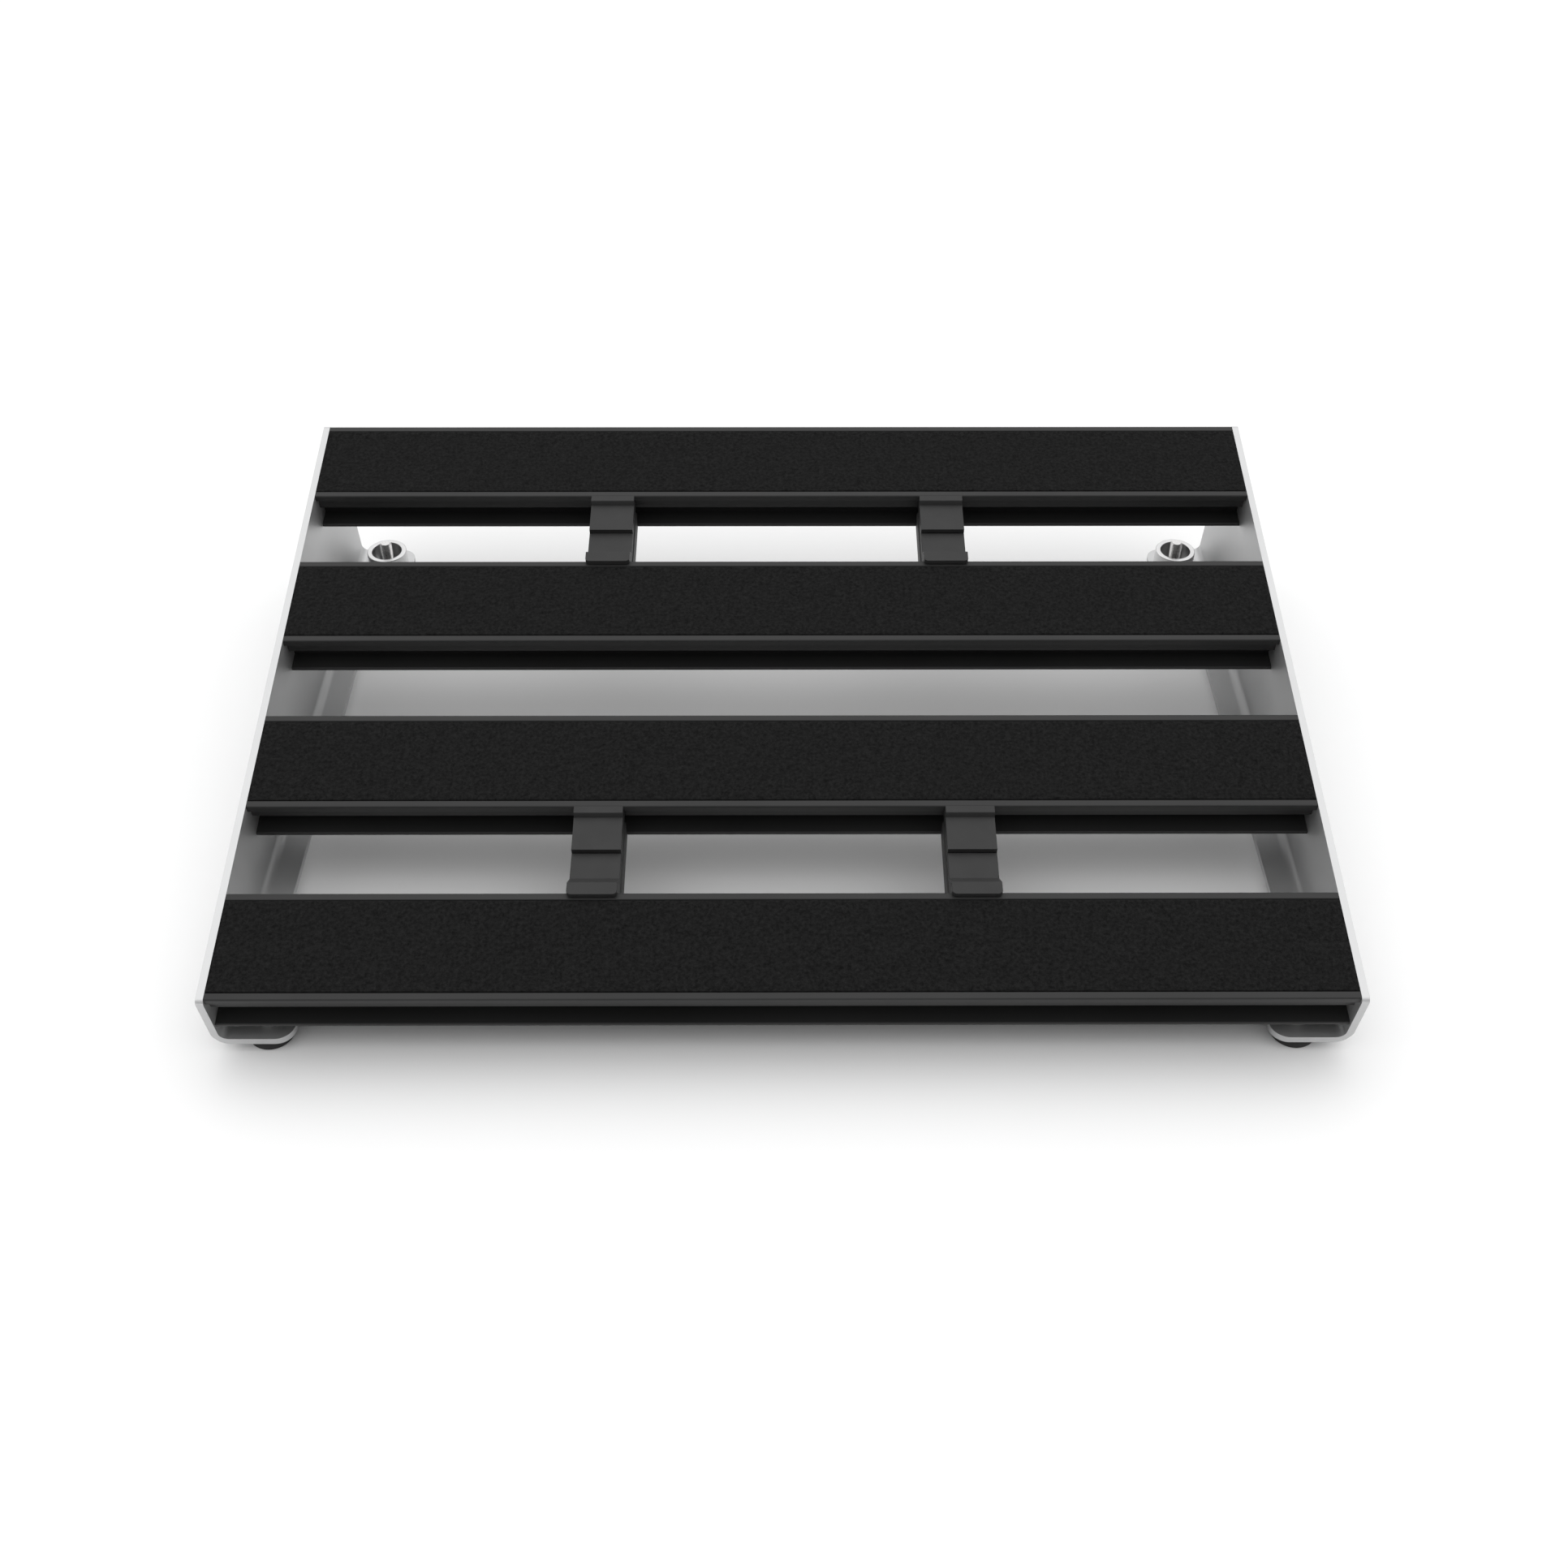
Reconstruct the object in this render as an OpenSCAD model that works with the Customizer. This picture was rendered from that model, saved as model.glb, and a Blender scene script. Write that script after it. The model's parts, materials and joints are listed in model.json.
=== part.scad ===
// Wedge-shaped pedalboard: four extruded rails with fleece strips between two bent side
// plates, four sliding clips under the deck, rubber feet in front and screw feet behind.
// X runs along the rails, Y from front to rear, Z up. The floor is Z = 0.

/* [Board] */
// Overall width across the two side plates
board_w = 600; // [440:5:900]
// Length of the sloping deck from front to rear
deck_len = 436; // [410:2:560]
// Tilt of the deck in degrees
deck_angle = 10.14; // [6:0.02:13]
// Height of the deck's front edge above the bottom flange
front_h = 37; // [36:0.5:60]

/* [Side plates] */
// Thickness of the bent sheet
sheet_t = 4; // [3:0.5:6]
// Inside radius of the bend
bend_r = 5; // [3:0.5:8]
// Width of the bottom flange from the outer face
flange_w = 21.5; // [16:0.5:30]
// Width of the foot tabs from the outer face
tab_w = 42; // [42:0.5:60]
// Length of each foot tab
tab_len = 46; // [40:1:80]
// Radius of the tabs' free corners
tab_r = 10; // [2:0.5:12]
// Radius of the wall's upper corners
wall_r = 3; // [1:0.5:8]

/* [Rails] */
// Width of a rail
rail_w = 65.5; // [60:0.5:80]
// Height of a rail
rail_h = 27; // [24:0.5:32]
// How far the outer rails sit inside the plates' ends
end_inset = 1.5; // [0:0.1:4]
// Width of the lips beside the fleece
lip_w = 4.4; // [3:0.1:7]
// Depth of the fleece recess
recess_d = 2; // [1:0.1:3]
// Height of the edge flange above the side grooves
lip_h = 4.2; // [3.5:0.1:5]
// Set-back of the faces under the edge flange
set_d = 4; // [3:0.1:5]
// Depth of the side slot
slot_d = 12; // [8:0.5:14]
// Height of the slot's opening
slot_h = 11.1; // [9:0.1:12]
// Thickness of the foot below the slot
foot_lip_t = 2.4; // [1.6:0.1:3.5]
// Wall thickness inside the rail
rail_wall = 2; // [1.5:0.1:2.5]

/* [Fleece] */
// Thickness of the fleece strip
fleece_t = 2.2; // [1.5:0.1:3]
// Gap between the fleece and the lips
fleece_gap = 0.3; // [0.1:0.1:1]

/* [Clips] */
// Width of a clip
clip_w = 27; // [24:0.5:36]
// How far the clip's lower walls stand out on each side
ledge_w = 0.7; // [0.2:0.1:1.5]
// Thickness of the clip's plates
clip_t = 3; // [2.5:0.1:4]
// Depth of the step from the deck to the clip's upper plate
clip_step = 3; // [2:0.1:4]
// Clearance between a clip and the rails
clip_gap = 0.3; // [0.2:0.05:0.6]
// Half the distance between the two front clips' middles
clip_front_x = 102.5; // [30:0.5:160]
// Half the distance between the two rear clips' middles
clip_rear_x = 104; // [30:0.5:160]
// Where the middle of the front pair lies across the board
clip_front_shift = 1; // [-10:0.5:10]
// Where the middle of the rear pair lies across the board
clip_rear_shift = -3; // [-10:0.5:10]

/* [Feet] */
// Height of the feet below the flange
foot_h = 8; // [8:0.5:16]
// Radius of the rubber feet
foot_r = 12.3; // [10.5:0.1:13]
// Distance of the feet from the plates' outer faces
foot_x_inset = 26.5; // [24:0.5:28]
// Distance of the front feet behind the flange's front edge
foot_y_inset = 14.4; // [14:0.2:24]
// Distance of the screw feet ahead of the flange's rear edge
cup_y_inset = 22.2; // [16:0.2:28]
// Outer radius of the screw foot's cup
cup_r = 13.45; // [12:0.05:14]
// Inner radius of the cup
cup_bore_r = 10; // [8:0.1:10.5]
// Height of the cup above the flange
cup_h = 15; // [12:0.5:20]
// Radius of the threaded spindle
spindle_r = 4; // [3:0.5:5]
// How far the spindle stands above the cup's rim
spindle_rise = 6.5; // [4:0.5:14]

/* [Hidden] */
$fn = 64;
e = 0.01;
run_gap = 0.05;
rail_count = 4;
sides = ["left", "right"];
clip_names = ["front_left", "front_right", "rear_left", "rear_right"];
clip_between = [0, 0, 2, 2];
clip_x = [
    clip_front_shift - clip_front_x, clip_front_shift + clip_front_x,
    clip_rear_shift - clip_rear_x, clip_rear_shift + clip_rear_x
];

inner_w = board_w - 2 * sheet_t;
rail_gap = (deck_len - 2 * end_inset - rail_count * rail_w) / (rail_count - 1);
flange_top = foot_h + sheet_t;
flange_y0 = front_h * tan(deck_angle);
plate_y1 = deck_len * cos(deck_angle) + (front_h + deck_len * sin(deck_angle)) * tan(deck_angle);
plate_y0 = wall_r * (cos(deck_angle) + sin(deck_angle) - 1);
bend_x = board_w / 2 - sheet_t - bend_r;
y_mid = (plate_y0 + plate_y1) / 2;

slot_bot = rail_h - foot_lip_t;
slot_top = slot_bot - slot_h;
port_r = 2.15;
port_boss_r = 4.4;
port_s = slot_d + rail_wall + 4;
port_n = (slot_top + slot_bot) / 2 - 1;
rail_screw_r = 2.1;
rail_screw_l = 18;
csk_r = 5.2;
csk_d = 2.6;
csk_hole_r = 2.6;

hook_band = 4.4;
hook_wall = 2;
lap_s = rail_gap * 0.53;
hook_s = rail_gap - hook_band - hook_wall;
clip_screw_s = (lap_s + hook_s) / 2;
skirt_t = 2;
clip_wall = 2.5;
ledge_n = 14;
fit = 0.1;
side_gap = 0.3;
clip_bot = rail_h;
tongue_l = 3.1;
tongue_top_l = 4.6;
rise_l = 13.2;
boss_r = 4.6;
clip_washer_r = min(7, (hook_s - lap_s) / 2 - side_gap / 2);
insert_r = 3;
clip_screw_r = 2;
slot_play = 4;

foot_x = board_w / 2 - foot_x_inset;
foot_y = flange_y0 + foot_y_inset;
cup_y = plate_y1 - cup_y_inset;
foot_screw_r = 2.5;
foot_hole_r = 2.75;
spigot_r = 8;
cup_floor_t = 4;
foot_washer_r = 7;
foot_washer_t = 1.2;
foot_washer_z = 3;
foot_head_r = 4.3;
nut_t = 4;
disc_r = 11;
disc_t = 3;
pad_floor_t = 4;
button_r = 6;
button_t = 1.6;

// Points along an arc
function arc(c, r, a0, a1, n = 6) =
    [for (k = [0:n]) c + r * [cos(a0 + (a1 - a0) * k / n), sin(a0 + (a1 - a0) * k / n)]];

function rail_s(i) = end_inset + i * (rail_w + rail_gap);

// What a round of radius r takes off a square corner at the origin
module corner_waste(r) {
    difference() {
        translate([-1, -1]) square(r + 1);
        translate([r, r]) circle(r);
    }
}

// From the deck's front edge, Y runs up the slope and Z stands square to the deck
module on_deck() {
    translate([0, -y_mid, flange_top + front_h]) rotate([deck_angle, 0, 0]) children();
}

// From the flange's upper face, level, below the deck's front edge
module on_flange() {
    translate([0, -y_mid, flange_top]) children();
}

// A drawing in Y and Z, thickened to both sides of X = 0
module along_x(w) {
    translate([-w / 2, 0, 0]) rotate([90, 0, 90]) linear_extrude(w) children();
}

module handed(side) {
    if (side == "left") mirror([1, 0, 0]) children();
    else children();
}

// ---- Side plates ----

// Wall and bend in X and Z, as for the right-hand plate
module wall_section() {
    wall_top = front_h + deck_len * sin(deck_angle) + 5;
    translate([bend_x + bend_r, bend_r]) square([sheet_t, wall_top - bend_r]);
    translate([bend_x, bend_r]) intersection() {
        difference() {
            circle(bend_r + sheet_t);
            circle(bend_r);
        }
        translate([0, -2 * bend_r - sheet_t]) square(2 * bend_r + sheet_t);
    }
}

// Side view of the wall in Y and Z: ends square to the sloping top edge
module wall_outline() {
    function from_deck(p) = [
        p[0] * cos(deck_angle) - p[1] * sin(deck_angle),
        front_h + p[0] * sin(deck_angle) + p[1] * cos(deck_angle)
    ];
    corners = concat(
        arc([wall_r, -wall_r], wall_r, 180, 90),
        arc([deck_len - wall_r, -wall_r], wall_r, 90, 0)
    );
    polygon(concat(
        [[flange_y0, -sheet_t], [flange_y0, 0]], [for (p = corners) from_deck(p)],
        [[plate_y1, 0], [plate_y1, -sheet_t]]
    ));
}

module foot_tab(y) {
    translate([board_w / 2 - tab_w, y]) difference() {
        square([bend_x - board_w / 2 + tab_w, tab_len]);
        corner_waste(tab_r);
        translate([0, tab_len]) mirror([0, 1]) corner_waste(tab_r);
    }
}

// Plan of the flange up to the bend: a narrow strip with a wide tab at each end
module flange_plan() {
    translate([board_w / 2 - flange_w, flange_y0])
        square([bend_x - board_w / 2 + flange_w, plate_y1 - flange_y0]);
    foot_tab(flange_y0);
    foot_tab(plate_y1 - tab_len);
}

module rail_screw_places() {
    on_deck() for (i = [0:rail_count - 1], s = [port_s, rail_w - port_s])
        translate([board_w / 2, rail_s(i) + s, -port_n]) rotate([0, -90, 0]) children();
}

module side_plate(side) {
    color("silver") handed(side) difference() {
        on_flange() union() {
            translate([0, 0, -sheet_t]) linear_extrude(sheet_t) flange_plan();
            intersection() {
                translate([0, plate_y1 + 5, 0]) rotate([90, 0, 0])
                    linear_extrude(plate_y1 + 10) wall_section();
                translate([board_w / 2, 0, 0]) along_x(3 * tab_w) wall_outline();
            }
        }
        rail_screw_places() {
            translate([0, 0, -1]) cylinder(r = csk_hole_r, h = sheet_t + 2);
            translate([0, 0, -e]) cylinder(r1 = csk_r, r2 = csk_hole_r, h = csk_d);
        }
        on_flange() {
            translate([foot_x, foot_y, -sheet_t - 1]) cylinder(r = foot_hole_r, h = sheet_t + 2);
            translate([foot_x, cup_y, -sheet_t - 1]) cylinder(r = spigot_r, h = sheet_t + 2);
        }
    }
}

// ---- Rails and fleece ----

// Front half of the rail's outline, from the middle of the recess to the middle of the base
module rail_outline() {
    edge_r = 1;
    edge_c = 0.5;
    half = concat(
        [[rail_w / 2, -recess_d], [lip_w, -recess_d], [lip_w, -0.4], [lip_w - 0.4, 0]],
        arc([edge_r, -edge_r], edge_r, 90, 180),
        [[0, -lip_h], [set_d, -lip_h], [set_d, -slot_top], [slot_d, -slot_top]],
        [[slot_d, -slot_bot], [edge_c, -slot_bot], [0, -slot_bot - edge_c]],
        [[0, edge_c - rail_h], [edge_c, -rail_h]]
    );
    n = len(half);
    polygon(concat(half, [for (k = [1:n - 1]) [rail_w - half[n - k][0], half[n - k][1]]]));
}

// The chambers inside the rail, with two webs and two screw bosses left standing
module rail_hollow() {
    web_t = 2;
    web_s = 7.5;
    upper_s = set_d + rail_wall;
    lower_s = slot_d + rail_wall;
    split_n = slot_top - rail_wall;
    difference() {
        union() {
            translate([upper_s, -split_n])
                square([rail_w - 2 * upper_s, split_n - recess_d - rail_wall]);
            translate([lower_s, rail_wall - rail_h])
                square([rail_w - 2 * lower_s, rail_h - rail_wall - split_n + e]);
        }
        for (d = [-web_s, web_s]) translate([rail_w / 2 + d - web_t / 2, -rail_h])
            square([web_t, rail_h]);
        for (s = [port_s, rail_w - port_s]) translate([s, -port_n]) circle(port_boss_r);
    }
}

module rail(i) {
    color([0.11, 0.11, 0.115]) on_deck() translate([0, rail_s(i), 0]) along_x(inner_w)
        difference() {
            rail_outline();
            rail_hollow();
            for (s = [port_s, rail_w - port_s]) translate([s, -port_n]) circle(port_r);
        }
}

module fleece(i) {
    inset = lip_w + fleece_gap;
    color([0.07, 0.07, 0.07]) on_deck() translate([0, rail_s(i) + inset, -recess_d])
        along_x(inner_w - 2 * fleece_gap) square([rail_w - 2 * inset, fleece_t]);
}

// Countersunk screws through a side plate into the rails' screw ports
module rail_screws(side) {
    head_gap = 0.1;
    color([0.2, 0.2, 0.2]) handed(side) rail_screw_places() difference() {
        union() {
            translate([0, 0, head_gap])
                cylinder(r1 = csk_r - 2 * head_gap, r2 = rail_screw_r, h = csk_d - head_gap);
            cylinder(r = rail_screw_r, h = rail_screw_l);
        }
        translate([0, 0, -1]) cylinder(r = 1.7, h = 2.6, $fn = 6);
        translate([0, 0, -1]) cylinder(r = csk_r, h = 1 + head_gap);
    }
}

// ---- Clips ----

// From the front rail's rear face at deck level, in the middle of clip c
module at_clip(c) {
    on_deck() translate([clip_x[c], rail_s(clip_between[c]) + rail_w, 0]) children();
}

// A wall on each side of the clip, standing from low to high
module clip_walls(outer, t, s0, s1, low, high) {
    for (x = [-outer, outer - t]) translate([x, s0, low]) cube([t, s1 - s0, high - low]);
}

// Upper plate that hooks under the rear rail's edge flange
module clip_rear_hook(c) {
    plate_n = clip_step + clip_t;
    nose_s = rail_gap + set_d - clip_gap;
    nose_n = slot_top - 1;
    back_s = rail_gap - clip_gap;
    flange_n = lip_h + clip_gap;
    brow = 0.35;
    color([0.26, 0.26, 0.26]) at_clip(c) difference() {
        union() {
            along_x(clip_w) polygon([
                [lap_s, -clip_step], [hook_s + hook_wall - 0.8, -clip_step],
                [hook_s + hook_wall, -0.4], [hook_s + hook_wall + 0.4, 0],
                [rail_gap + brow, 0], [back_s, -brow - clip_gap], [back_s, -flange_n],
                [nose_s, -flange_n], [nose_s, -nose_n], [hook_s, -nose_n],
                [hook_s, -plate_n], [lap_s, -plate_n]
            ]);
            clip_walls(clip_w / 2, skirt_t, lap_s, hook_s + e, side_gap - ledge_n, e - plate_n);
            translate([0, clip_screw_s, -plate_n - clip_t]) cylinder(r = boss_r, h = clip_t + e);
        }
        translate([0, clip_screw_s, -plate_n - clip_t - 1])
            cylinder(r = insert_r, h = clip_t + clip_t);
    }
}

// Channel with a tongue on the front rail's lip and a nose in its slot
module clip_base(c) {
    top_n = clip_step + clip_t + fit;
    front_top_n = clip_step + clip_t;
    narrow = clip_w / 2 - skirt_t - side_gap;
    lower = clip_w / 2 + ledge_w;
    front_end = lap_s - side_gap;
    narrow_end = hook_s - side_gap;
    channel_end = rail_gap - clip_gap;
    tongue_n = clip_gap + clip_t;
    slot_r = boss_r + side_gap;
    nose_l = slot_d - 4;
    nose_margin = 1.5;
    color([0.26, 0.26, 0.26]) at_clip(c) difference() {
        union() {
            along_x(clip_w) polygon([
                [rise_l, -front_top_n], [tongue_top_l, tongue_n], [-tongue_l, tongue_n],
                [-tongue_l, clip_gap], [clip_gap, clip_gap], [clip_gap, -clip_bot],
                [clip_gap + clip_wall, -clip_bot], [clip_gap + clip_wall, -front_top_n - clip_t],
                [front_end, -front_top_n - clip_t], [front_end, -front_top_n]
            ]);
            clip_walls(clip_w / 2, clip_wall, clip_gap, front_end, -ledge_n - e, -front_top_n - e);
            along_x(2 * narrow) translate([front_end - 1, -top_n - clip_t])
                square([narrow_end - front_end + 1, clip_t]);
            clip_walls(narrow, clip_wall, front_end - 1, narrow_end, -ledge_n - e, -top_n - e);
            clip_walls(lower, lower - narrow + clip_wall, clip_gap, channel_end,
                -ledge_n - 2, -ledge_n);
            clip_walls(lower, clip_wall, clip_gap, channel_end, -clip_bot, -ledge_n);
            along_x(2 * narrow - 2) translate([-nose_l, nose_margin - slot_bot])
                square([nose_l + clip_gap + e, slot_h - 2 * nose_margin]);
        }
        for (y = [-slot_play, slot_play]) translate([0, clip_screw_s + y, -top_n - clip_t - 1])
            cylinder(r = slot_r, h = clip_t + 2);
        translate([-slot_r, clip_screw_s - slot_play, -top_n - clip_t - 1])
            cube([2 * slot_r, 2 * slot_play, clip_t + 2]);
        for (m = [0, 1]) mirror([m, 0, 0]) translate([-clip_w / 2, -tongue_l, -1])
            linear_extrude(tongue_n + 2) corner_waste(2.5);
    }
}

// Threaded brass insert in the rear hook's boss
module clip_insert(c) {
    plate_n = clip_step + clip_t;
    color([0.72, 0.58, 0.3]) at_clip(c) translate([0, clip_screw_s, -plate_n - clip_t])
        difference() {
            cylinder(r = insert_r, h = 2 * clip_t - 1);
            translate([0, 0, -1]) cylinder(r = clip_screw_r + run_gap, h = 2 * clip_t + 1);
        }
}

module clip_washer(c) {
    washer_n = clip_step + 2 * clip_t + fit;
    color([0.7, 0.7, 0.72]) at_clip(c) translate([0, clip_screw_s, -washer_n - 1]) difference() {
        cylinder(r = clip_washer_r, h = 1);
        translate([0, 0, -1]) cylinder(r = clip_screw_r + 0.2, h = 3);
    }
}

module clip_screw(c) {
    head_n = clip_step + 2 * clip_t + fit + 1;
    head_t = 2.8;
    color([0.7, 0.7, 0.72]) at_clip(c) translate([0, clip_screw_s, -head_n]) difference() {
        union() {
            translate([0, 0, -head_t]) cylinder(r = 4, h = head_t);
            cylinder(r = clip_screw_r, h = 2 * clip_t - 1);
        }
        translate([0, 0, -head_t - 1]) cylinder(r = 1.6, h = 2.6, $fn = 6);
    }
}

// ---- Front feet ----

module at_front_foot(side) {
    handed(side) translate([foot_x, foot_y - y_mid, 0]) children();
}

module front_foot_rubber(side) {
    round_r = 1;
    color([0.13, 0.13, 0.13]) at_front_foot(side) difference() {
        rotate_extrude() polygon(concat(
            [[0, 0]], arc([foot_r - round_r, round_r], round_r, -90, 0),
            [[foot_r, foot_h], [0, foot_h]]
        ));
        translate([0, 0, -1]) cylinder(r = foot_head_r + 0.4, h = foot_washer_z + 1 + e);
        translate([0, 0, foot_washer_z]) cylinder(r = foot_washer_r, h = foot_washer_t);
        translate([0, 0, foot_washer_z]) cylinder(r = foot_hole_r, h = foot_h);
    }
}

module front_foot_washer(side) {
    color([0.7, 0.7, 0.72]) at_front_foot(side) translate([0, 0, foot_washer_z]) difference() {
        cylinder(r = foot_washer_r, h = foot_washer_t);
        translate([0, 0, -1]) cylinder(r = foot_hole_r, h = foot_washer_t + 2);
    }
}

module front_foot_screw(side) {
    head_t = 2.2;
    color([0.7, 0.7, 0.72]) at_front_foot(side) difference() {
        union() {
            translate([0, 0, foot_washer_z - head_t]) cylinder(r = foot_head_r, h = head_t);
            cylinder(r = foot_screw_r, h = flange_top + nut_t + 1);
        }
        translate([0, 0, -1]) cylinder(r = foot_head_r, h = foot_washer_z - head_t + 1);
        translate([0, 0, -1]) cylinder(r = 1.7, h = foot_washer_z, $fn = 6);
    }
}

module front_foot_nut(side) {
    color([0.7, 0.7, 0.72]) at_front_foot(side) translate([0, 0, flange_top]) difference() {
        cylinder(r = 4.62, h = nut_t, $fn = 6);
        translate([0, 0, -1]) cylinder(r = foot_screw_r, h = nut_t + 2);
    }
}

// ---- Rear screw feet ----

module at_rear_foot(side) {
    handed(side) translate([foot_x, cup_y - y_mid, 0]) children();
}

// Turned cup on the flange, with a threaded floor and a spigot through the sheet
module rear_foot_cup(side) {
    rim_r = 0.6;
    color([0.85, 0.85, 0.86]) at_rear_foot(side) translate([0, 0, flange_top]) difference() {
        union() {
            rotate_extrude() polygon(concat(
                [[0, 0], [cup_r, 0]], arc([cup_r - rim_r, cup_h - rim_r], rim_r, 0, 90),
                arc([cup_bore_r + rim_r, cup_h - rim_r], rim_r, 90, 180),
                [[cup_bore_r, cup_floor_t], [0, cup_floor_t]]
            ));
            translate([0, 0, -sheet_t]) cylinder(r = spigot_r, h = sheet_t + e);
        }
        translate([0, 0, -sheet_t - 1]) cylinder(r = spindle_r + run_gap, h = cup_h + sheet_t);
    }
}

// Threaded spindle with a plain chamfered end and a button held in the foot disc
module rear_foot_spindle(side) {
    button_z = pad_floor_t + fit;
    top_z = flange_top + cup_h + spindle_rise;
    chamfer = 1;
    color([0.75, 0.75, 0.77]) at_rear_foot(side) union() {
        translate([0, 0, button_z]) cylinder(r = button_r, h = button_t);
        translate([0, 0, button_z]) cylinder(r = spindle_r, h = top_z - button_z - chamfer);
        translate([0, 0, top_z - chamfer])
            cylinder(r1 = spindle_r, r2 = spindle_r - chamfer, h = chamfer);
    }
}

module rear_foot_disc(side) {
    color([0.7, 0.7, 0.72]) at_rear_foot(side) translate([0, 0, pad_floor_t]) difference() {
        cylinder(r = disc_r, h = disc_t);
        translate([0, 0, -1]) cylinder(r = spindle_r + run_gap, h = disc_t + 2);
        translate([0, 0, -1]) cylinder(r = button_r + run_gap, h = 1 + fit + button_t + fit);
    }
}

module rear_foot_pad(side) {
    round_r = 1;
    color([0.13, 0.13, 0.13]) at_rear_foot(side) difference() {
        rotate_extrude() polygon(concat(
            [[0, 0]], arc([foot_r - round_r, round_r], round_r, -90, 0),
            [[foot_r, pad_floor_t + disc_t], [0, pad_floor_t + disc_t]]
        ));
        translate([0, 0, pad_floor_t]) cylinder(r = disc_r, h = disc_t + 1);
    }
}

for (s = sides) side_plate(s);
for (i = [1:rail_count]) rail(i - 1);
for (i = [1:rail_count]) fleece(i - 1);
for (s = sides) rail_screws(s);
for (c = [0:len(clip_names) - 1]) {
    name = str("clip_", clip_names[c], "_");
    clip_rear_hook(c);
    clip_base(c);
    clip_insert(c);
    clip_screw(c);
    clip_washer(c);
}
for (s = sides) {
    name = str("front_foot_", s, "_");
    front_foot_rubber(s);
    front_foot_washer(s);
    front_foot_screw(s);
    front_foot_nut(s);
}
for (s = sides) {
    name = str("rear_foot_", s, "_");
    rear_foot_cup(s);
    rear_foot_spindle(s);
    rear_foot_disc(s);
    rear_foot_pad(s);
}
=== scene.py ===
"""A wedge-shaped pedalboard on a pale studio floor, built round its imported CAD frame.

Most pieces are the CAD nodes, with a finish for each material. The rails, plates and clips have
eased edges too. The fleece strips and the two threaded spindles are modelled here. Lengths are in
metres.
"""
import json
import math

import bmesh
import bpy
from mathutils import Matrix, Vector, noise

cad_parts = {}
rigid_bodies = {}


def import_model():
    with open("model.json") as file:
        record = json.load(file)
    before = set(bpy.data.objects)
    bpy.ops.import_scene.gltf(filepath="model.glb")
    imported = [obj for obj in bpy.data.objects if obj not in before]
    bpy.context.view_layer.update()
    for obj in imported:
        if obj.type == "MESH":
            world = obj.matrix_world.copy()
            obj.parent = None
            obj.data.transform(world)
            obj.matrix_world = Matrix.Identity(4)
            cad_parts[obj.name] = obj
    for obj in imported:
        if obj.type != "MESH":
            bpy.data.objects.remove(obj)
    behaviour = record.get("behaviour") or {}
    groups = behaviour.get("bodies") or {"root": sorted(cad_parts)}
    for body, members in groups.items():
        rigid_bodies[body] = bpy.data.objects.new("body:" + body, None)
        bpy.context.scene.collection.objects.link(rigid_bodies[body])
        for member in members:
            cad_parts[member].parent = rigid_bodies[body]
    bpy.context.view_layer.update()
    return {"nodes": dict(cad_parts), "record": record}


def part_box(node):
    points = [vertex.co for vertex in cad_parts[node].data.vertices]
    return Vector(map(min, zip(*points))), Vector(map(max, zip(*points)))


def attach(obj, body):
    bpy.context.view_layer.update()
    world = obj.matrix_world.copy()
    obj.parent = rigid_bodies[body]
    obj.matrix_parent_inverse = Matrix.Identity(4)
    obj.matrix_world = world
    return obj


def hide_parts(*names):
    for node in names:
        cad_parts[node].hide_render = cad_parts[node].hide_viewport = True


MM = 0.001
DECK_TILT = math.radians(10.14)
SLOPE = Vector((0, math.cos(DECK_TILT), math.sin(DECK_TILT)))
DECK_UP = Vector((0, -math.sin(DECK_TILT), math.cos(DECK_TILT)))

for leftover in list(bpy.data.objects):
    bpy.data.objects.remove(leftover)
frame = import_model()
nodes = frame["nodes"]


# ---- Camera ----

def add_camera():
    """The camera of the original picture, as the object's own edges in it give it."""
    data = bpy.data.cameras.new("camera")
    data.sensor_width = 36
    data.lens = 41.136
    camera = bpy.data.objects.new("camera", data)
    camera.location = (-0.0022, -0.8220, 0.7493)
    camera.rotation_euler = [math.radians(a) for a in (47.383, -0.067, -0.180)]
    bpy.context.scene.collection.objects.link(camera)
    bpy.context.scene.camera = camera


# ---- Material building blocks ----

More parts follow.
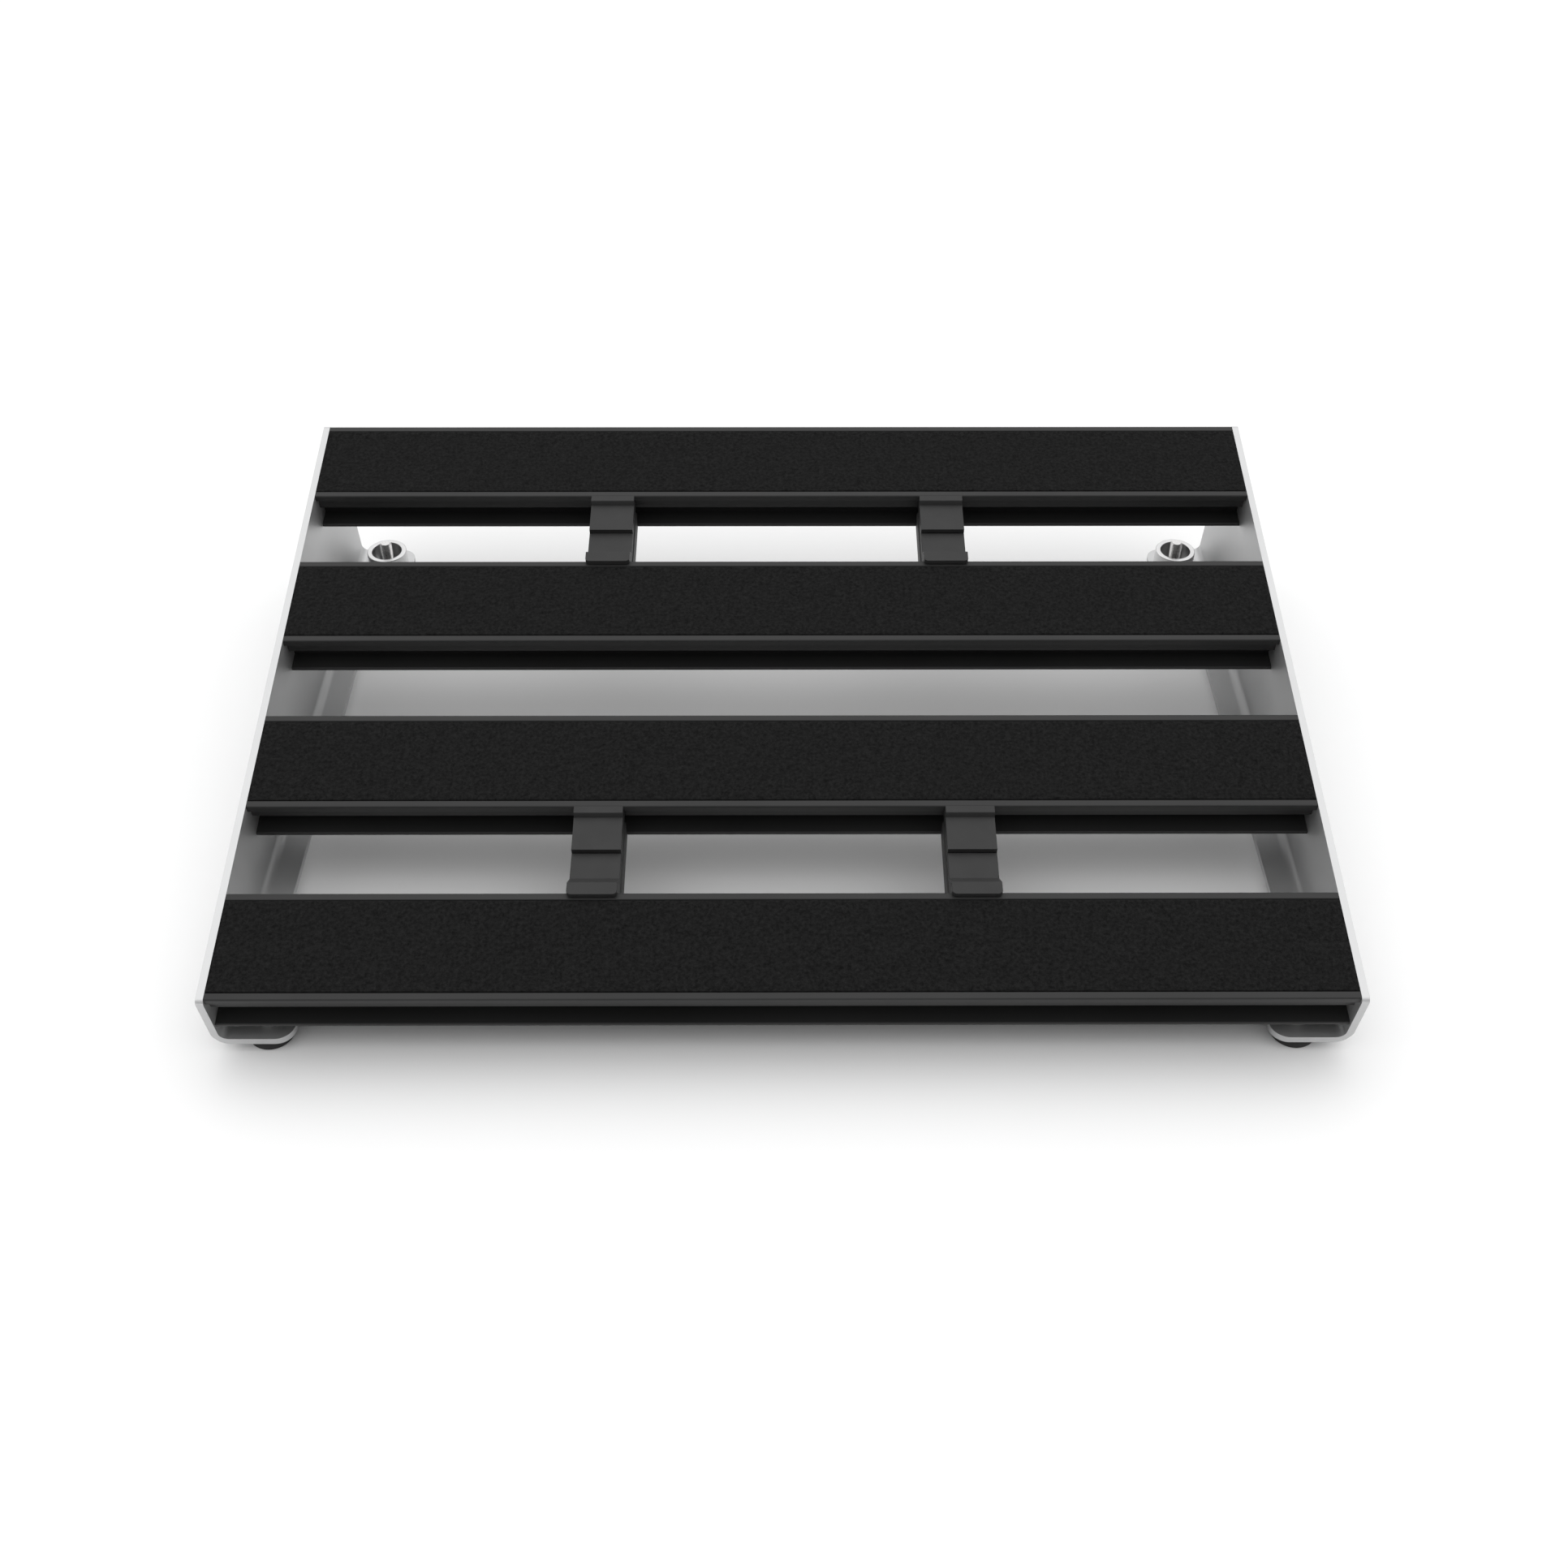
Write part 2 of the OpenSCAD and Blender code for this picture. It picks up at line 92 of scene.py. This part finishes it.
class Finish:
    """A material with a Principled shader, and short calls that add nodes to it."""

    def __init__(self, name, **sockets):
        self.material = bpy.data.materials.new(name)
        self.material.use_nodes = True
        self.tree = self.material.node_tree
        self.shader = self.tree.nodes["Principled BSDF"]
        for socket, value in sockets.items():
            self.shader.inputs[socket.replace("_", " ")].default_value = value
        self.place = self.add("ShaderNodeTexCoord").outputs["Object"]

    def add(self, kind, settings=None, inputs=None):
        """A new node. An input is either a value or another node's output to link from."""
        made = self.tree.nodes.new(kind)
        for key, value in (settings or {}).items():
            setattr(made, key, value)
        for key, value in (inputs or {}).items():
            if isinstance(value, bpy.types.NodeSocket):
                self.tree.links.new(value, made.inputs[key])
            else:
                made.inputs[key].default_value = value
        return made

    def stretched(self, scale):
        """The object's own coordinates times a scale along each axis."""
        return self.add("ShaderNodeMapping", inputs={
            "Vector": self.place, "Scale": scale}).outputs["Vector"]

    def noise(self, scale, detail=3.0, rough=0.55, place=None):
        made = self.add("ShaderNodeTexNoise", inputs={
            "Vector": place or self.place, "Scale": scale, "Detail": detail,
            "Roughness": rough})
        return made.outputs["Fac"]

    def math(self, operation, a, b=0.0):
        return self.add("ShaderNodeMath", {"operation": operation}, {0: a, 1: b}).outputs[0]

    def ramp(self, fac, low, high, start=0.3, end=0.7):
        """A colour that goes from low to high as fac goes from start to end."""
        made = self.add("ShaderNodeValToRGB", inputs={"Fac": fac})
        for stop, where, colour in zip(made.color_ramp.elements, (start, end), (low, high)):
            stop.position = where
            stop.color = colour
        return made.outputs["Color"]

    def spread(self, fac, low, high, start=0.3, end=0.7):
        """A number that goes from low to high as fac goes from start to end."""
        made = self.add("ShaderNodeMapRange", inputs={
            "Value": fac, "From Min": start, "From Max": end, "To Min": low, "To Max": high})
        return made.outputs["Result"]

    def plug(self, socket, output):
        self.tree.links.new(output, self.shader.inputs[socket])

    def bump(self, *layers):
        """Layers of (height output, depth in metres), laid over each other."""
        normal = None
        for height, depth in layers:
            made = self.add("ShaderNodeBump", inputs={
                "Strength": 1.0, "Distance": depth, "Height": height})
            if normal:
                self.tree.links.new(normal, made.inputs["Normal"])
            normal = made.outputs["Normal"]
        self.plug("Normal", normal)


def grey(low, high, warmth=0.0):
    """Two greys for a ramp, warmer than neutral where warmth is above zero."""
    return [(v * (1 + warmth), v, v * (1 - warmth), 1) for v in (low, high)]


# ---- Finishes ----

def fleece_finish():
    """Brushed loop fleece: short matted pile in clumps of a millimetre or two."""
    f = Finish("fleece", Roughness=0.95, Specular_IOR_Level=0.05,
               Sheen_Weight=0.015, Sheen_Roughness=0.6)
    clumps = f.noise(520, detail=5, rough=0.65)
    fibres = f.noise(2600, detail=2, rough=0.7, place=f.stretched((0.8, 1.0, 1.0)))
    mixed = f.math("ADD", f.math("MULTIPLY", clumps, 0.65), f.math("MULTIPLY", fibres, 0.35))
    f.plug("Base Color", f.ramp(mixed, *grey(0.003, 0.018), 0.36, 0.64))
    f.bump((clumps, 0.9 * MM), (fibres, 0.25 * MM))
    return f.material


def anodised_finish():
    """Black anodised extrusion: fine die lines along the rail and a soft satin sheen."""
    f = Finish("black_anodised", Specular_IOR_Level=0.25)
    lines = f.noise(1, detail=4, rough=0.7, place=f.stretched((3, 1500, 1500)))
    grain = f.noise(5200, detail=2)
    patches = f.noise(9, detail=2)
    f.plug("Base Color", f.ramp(patches, *grey(0.019, 0.023), 0.35, 0.65))
    f.plug("Roughness", f.spread(lines, 0.34, 0.46))
    f.bump((lines, 0.012 * MM), (grain, 0.012 * MM))
    return f.material


def sheet_finish():
    """Clear anodised aluminium sheet: an even, very fine blasted satin."""
    f = Finish("silver_aluminium", Metallic=0.8)
    grain = f.noise(3600, detail=2, rough=0.6)
    cloud = f.noise(22, detail=3)
    f.plug("Base Color", f.ramp(cloud, *grey(0.54, 0.58, -0.004)))
    f.plug("Roughness", f.spread(cloud, 0.44, 0.50))
    f.bump((grain, 0.03 * MM))
    return f.material


def round_place(f, middle):
    """Distance from the nearer of two upright axes, at middle and at its mirror, and height."""
    xyz = f.add("ShaderNodeSeparateXYZ", inputs={"Vector": f.place})
    across = f.math("SUBTRACT", f.math("ABSOLUTE", xyz.outputs["X"]), middle.x)
    along = f.math("SUBTRACT", xyz.outputs["Y"], middle.y)
    square = f.math("ADD", f.math("MULTIPLY", across, across), f.math("MULTIPLY", along, along))
    return f.math("SQRT", square), xyz.outputs["Z"]


def turned_finish(middle, bore):
    """Lathe-turned aluminium: rings from the tool, and a shade brighter in the bore."""
    f = Finish("turned_aluminium", Metallic=1.0)
    radius, height = round_place(f, middle)
    ring_place = f.add("ShaderNodeCombineXYZ", inputs={"X": radius, "Y": height}).outputs[0]
    rings = f.noise(5200, detail=3, place=ring_place)
    outside = f.spread(radius, 0.0, 1.0, bore + 0.05 * MM, bore + 0.35 * MM)
    f.plug("Base Color", f.ramp(outside, *grey(0.66, 0.60), 0.0, 1.0))
    f.plug("Roughness", f.spread(rings, 0.24, 0.38))
    f.bump((rings, 0.02 * MM))
    return f.material


def steel_finish(name, shade, roughness):
    """Plated or blackened steel with the faint mottling that plating has."""
    f = Finish(name, Metallic=1.0)
    mottle = f.noise(900, detail=4, rough=0.6)
    f.plug("Base Color", f.ramp(mottle, *grey(shade * 0.86, shade, 0.01)))
    f.plug("Roughness", f.spread(mottle, roughness - 0.06, roughness + 0.06))
    f.bump((f.noise(4200, detail=2), 0.02 * MM))
    return f.material


def plastic_finish():
    """Dark grey moulded plastic with a fine eroded texture."""
    f = Finish("clip_plastic", Specular_IOR_Level=0.28)
    grain = f.noise(2300, detail=3, rough=0.6)
    cloud = f.noise(70, detail=2)
    f.plug("Base Color", f.ramp(cloud, *grey(0.024, 0.028)))
    f.plug("Roughness", f.spread(grain, 0.50, 0.62))
    f.bump((grain, 0.05 * MM))
    return f.material


def rubber_finish():
    """Matte moulded rubber with a fine grain, its hollows painted a little darker as painted shade.
    """
    f = Finish("rubber", Specular_IOR_Level=0.3)
    grain = f.noise(1500, detail=4, rough=0.65)
    # Painted shade: the colour follows the grain's height, darker in its hollows than on its tops.
    f.plug("Base Color", f.ramp(grain, *grey(0.020, 0.032, 0.01)))
    f.plug("Roughness", f.spread(grain, 0.70, 0.86))
    f.bump((grain, 0.08 * MM))
    return f.material


def brass_finish():
    """Turned brass with fine lines round it."""
    f = Finish("brass", Metallic=1.0)
    lines = f.noise(1, detail=3, place=f.stretched((900, 900, 4000)))
    f.plug("Base Color", f.ramp(lines, (0.60, 0.43, 0.18, 1), (0.74, 0.56, 0.27, 1)))
    f.plug("Roughness", f.spread(lines, 0.26, 0.40))
    f.bump((lines, 0.02 * MM))
    return f.material


# ---- Geometry ----

def dress(piece, material):
    """Gives a piece one material in place of any it has."""
    piece.data.materials.clear()
    piece.data.materials.append(material)


def ease_edges(piece, width):
    """Joins the flat triangles, rounds the sharp edges and evens out the shading."""
    mesh = piece.data
    if "custom_normal" in mesh.attributes:
        mesh.attributes.remove(mesh.attributes["custom_normal"])
    mesh.shade_smooth()
    weld = piece.modifiers.new("weld", "WELD")
    weld.merge_threshold = 0.001 * MM
    planar = piece.modifiers.new("planar", "DECIMATE")
    planar.decimate_type = "DISSOLVE"
    planar.angle_limit = math.radians(0.3)
    bevel = piece.modifiers.new("bevel", "BEVEL")
    bevel.width = width
    bevel.segments = 2
    bevel.limit_method = "ANGLE"
    bevel.angle_limit = math.radians(32)
    bevel.miter_outer = "MITER_ARC"
    shade = piece.modifiers.new("shade", "WEIGHTED_NORMAL")
    shade.weight = 60


def new_piece(name, bm, material, body, replaced):
    """A modelled piece that rides on a body and stands in for a CAD node."""
    mesh = bpy.data.meshes.new(name)
    bmesh.ops.recalc_face_normals(bm, faces=bm.faces)
    bm.to_mesh(mesh)
    bm.free()
    piece = bpy.data.objects.new(name, mesh)
    bpy.context.scene.collection.objects.link(piece)
    dress(piece, material)
    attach(piece, body)
    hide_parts(replaced)
    return piece


def strip_frame(node):
    """Middle of a tilted strip's underside, with its length along X, its width and thickness.

    Its box measures width * cos + thick * sin along Y, and width * sin + thick * cos along Z.
    """
    low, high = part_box(node)
    size = high - low
    cos = math.cos(DECK_TILT)
    sin = math.sin(DECK_TILT)
    width = (size.y * cos - size.z * sin) / math.cos(2 * DECK_TILT)
    thick = (size.z * cos - size.y * sin) / math.cos(2 * DECK_TILT)
    middle = (low + high) / 2 - DECK_UP * thick / 2
    return middle, size.x, width, thick


def fleece_strip(number, material):
    """A strip of pile cut from a roll: a woven back with a brushed top and ragged cut ends.

    The cross-section runs round the strip, and the pile lifts and leans a little at random.
    """
    node = f"fleece_{number}"
    middle, length, width, thick = strip_frame(node)
    step = 1.3 * MM
    shoulder = 0.7 * MM
    sink = 0.16 * MM
    lift = sink / 2
    ragged = 0.22 * MM
    tuft_scale = 420
    lean_scale = 300
    fray_scale = 900
    noise_layer = number * 0.37
    along = round(length / step)
    across = round((width - 2 * shoulder) / step)
    half = width / 2 - shoulder
    side = [(-width / 2, 0), (-width / 2, thick - shoulder)]
    side += [(-width / 2 + shoulder * (1 - math.cos(a)), thick - shoulder * (1 - math.sin(a)))
             for a in (math.pi / 6, math.pi / 3)]
    top = [(-half + 2 * half * k / across, thick) for k in range(across + 1)]
    profile = side + top + [(-s, n) for s, n in reversed(side)]
    bm = bmesh.new()
    rows = []
    for i in range(along + 1):
        x = -length / 2 + length * i / along
        row = []
        for s, n in profile:
            here = Vector((x, s, noise_layer))
            up = noise.fractal(here * tuft_scale, 1.0, 2.0, 3) if n > 0 else 0
            lean = noise.noise_vector(here * lean_scale) * ragged if n > 0 else Vector()
            fray = abs(noise.noise(here * fray_scale)) * ragged if i in (0, along) else 0
            point = Vector((x - math.copysign(fray, x) + lean.x * (0 < i < along), 0, 0))
            point += middle + SLOPE * (s + lean.y * (abs(s) < half))
            point += DECK_UP * (n + min(0.0, up) * sink + max(0.0, up) * lift)
            row.append(bm.verts.new(point))
        rows.append(row)
    count = len(profile)
    for a, b in zip(rows, rows[1:]):
        for k in range(count):
            m = (k + 1) % count
            bm.faces.new((a[k], b[k], b[m], a[m]))
    for row in (rows[0], rows[-1]):
        bmesh.ops.triangulate(bm, faces=[bm.faces.new(row)])
    piece = new_piece(f"fleece_strip_{number}", bm, material, "root", node)
    piece.data.shade_smooth()
    return piece


def ring(bm, middle, radius_at, height, steps):
    """One ring of points round an upright axis, with a radius for each angle."""
    angles = [2 * math.pi * i / steps for i in range(steps)]
    return [bm.verts.new((middle.x + radius_at(a) * math.cos(a),
                          middle.y + radius_at(a) * math.sin(a), height)) for a in angles]


def skin_rings(bm, rings):
    """Closes a stack of rings into one solid."""
    for a, b in zip(rings, rings[1:]):
        for k in range(len(a)):
            m = (k + 1) % len(a)
            bm.faces.new((a[k], a[m], b[m], b[k]))
    bm.faces.new(rings[0])
    bm.faces.new(rings[-1])


def thread_rings(bm, middle, radius, pitch, low, high, steps):
    """Rings of a right-hand thread with a chamfer at its upper end.

    Its tooth goes from 0 on the crest to 1 in the root, with a short flat on both.
    """
    depth = 0.61 * pitch
    chamfer = 1.0 * MM
    rows_per_turn = 8
    flank_rise = 1.35
    crest_flat = 0.12
    count = round((high - low) / pitch * rows_per_turn)
    rings = []
    for j in range(count + 1):
        z = low + (high - low) * j / count
        limit = radius - chamfer + min(chamfer, high - z)

        def radius_at(angle, z=z, limit=limit):
            phase = (z / pitch - angle / (2 * math.pi)) % 1.0
            tooth = min(1.0, max(0.0, flank_rise * abs(2 * phase - 1) - crest_flat))
            return min(radius - depth * tooth, limit)

        rings.append(ring(bm, middle, radius_at, z, steps))
    return rings


def spindle(side, material):
    """The screw foot's spindle: an M8 thread, a plain chamfered end and a button in the foot's disc.

    Its body has the same name as the CAD node.
    """
    node = f"rear_foot_{side}_spindle"
    low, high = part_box(node)
    middle = (low + high) / 2
    button_r = (high.x - low.x) / 2
    button_t = 1.6 * MM
    radius = 4 * MM
    pitch = 1.25 * MM
    ease = 0.3 * MM
    steps = 40
    button = [(button_r - ease, 0), (button_r, ease), (button_r, button_t - ease),
              (button_r - ease, button_t), (radius, button_t)]
    bm = bmesh.new()
    rings = [ring(bm, middle, lambda a, r=r: r, low.z + h, steps) for r, h in button]
    rings += thread_rings(bm, middle, radius, pitch, low.z + button_t + ease, high.z, steps)
    skin_rings(bm, rings)
    piece = new_piece(f"spindle_{side}", bm, material, node, node)
    piece.data.set_sharp_from_angle(angle=math.radians(38))
    return piece


# ---- Studio ----

def add_floor():
    """A wide, pale, matte floor with no gloss."""
    bm = bmesh.new()
    bmesh.ops.create_grid(bm, x_segments=1, y_segments=1, size=8.0)
    mesh = bpy.data.meshes.new("floor")
    bm.to_mesh(mesh)
    bm.free()
    floor = bpy.data.objects.new("floor", mesh)
    bpy.context.scene.collection.objects.link(floor)
    f = Finish("floor", Roughness=0.9, Specular_IOR_Level=0.0)
    f.plug("Base Color", f.ramp(f.noise(3), *grey(0.895, 0.90)))
    dress(floor, f.material)


def add_sky():
    """A pale sky that is brightest overhead and dimmer in front of the board than behind it."""
    world = bpy.data.worlds.new("sky")
    world.use_nodes = True
    tree = world.node_tree
    direction = tree.nodes.new("ShaderNodeTexCoord").outputs["Generated"]
    split = tree.nodes.new("ShaderNodeSeparateXYZ")
    tree.links.new(direction, split.inputs[0])
    strength = tree.nodes.new("ShaderNodeMath")
    strength.operation = "MULTIPLY"
    horizon_to_top = ("Z", 0.0, 0.50, 0.96)
    front_to_side = ("Y", -1.0, 0.70, 1.0)
    for factor, (axis, start, low, high) in zip(strength.inputs, (horizon_to_top, front_to_side)):
        fade = tree.nodes.new("ShaderNodeMapRange")
        tree.links.new(split.outputs[axis], fade.inputs["Value"])
        fade.inputs["From Min"].default_value = start
        fade.inputs["From Max"].default_value = start + 1.0
        fade.inputs["To Min"].default_value = low
        fade.inputs["To Max"].default_value = high
        tree.links.new(fade.outputs["Result"], factor)
    background = tree.nodes["Background"]
    background.inputs["Color"].default_value = (1.0, 1.0, 1.0, 1)
    tree.links.new(strength.outputs[0], background.inputs["Strength"])
    bpy.context.scene.world = world


def add_key_light():
    """One very broad soft light from above, leaning a little."""
    data = bpy.data.lights.new("key", "SUN")
    data.energy = 1.45
    data.angle = math.radians(104)
    key = bpy.data.objects.new("key", data)
    key.rotation_euler = (math.radians(-10), 0, 0)
    bpy.context.scene.collection.objects.link(key)


# ---- Assembly ----

add_camera()
cup_low, cup_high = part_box("rear_foot_right_cup")
cup_middle = (cup_low + cup_high) / 2
cup_bore = 10 * MM
finishes = {
    "silver_aluminium": sheet_finish(),
    "turned_aluminium": turned_finish(cup_middle, cup_bore),
    "black_anodised": anodised_finish(),
    "fleece": fleece_finish(),
    "clip_plastic": plastic_finish(),
    "rubber": rubber_finish(),
    "zinc_steel": steel_finish("zinc_steel", 0.66, 0.30),
    "black_steel": steel_finish("black_steel", 0.05, 0.42),
    "brass": brass_finish(),
}
edge_width = {
    "silver_aluminium": 0.35 * MM,
    "black_anodised": 0.18 * MM,
    "clip_plastic": 0.3 * MM,
}
slots = {part["node"]: part["material_slot"] for part in frame["record"]["subparts"]}
for name, piece in nodes.items():
    if name.startswith("fleece"):
        continue
    dress(piece, finishes[slots[name]])
    if slots[name] in edge_width:
        ease_edges(piece, edge_width[slots[name]])
for number in (1, 2, 3, 4):
    fleece_strip(number, finishes["fleece"])
for side in ("left", "right"):
    spindle(side, finishes["zinc_steel"])
add_floor()
add_sky()
add_key_light()
bpy.context.scene.view_settings.view_transform = "Standard"
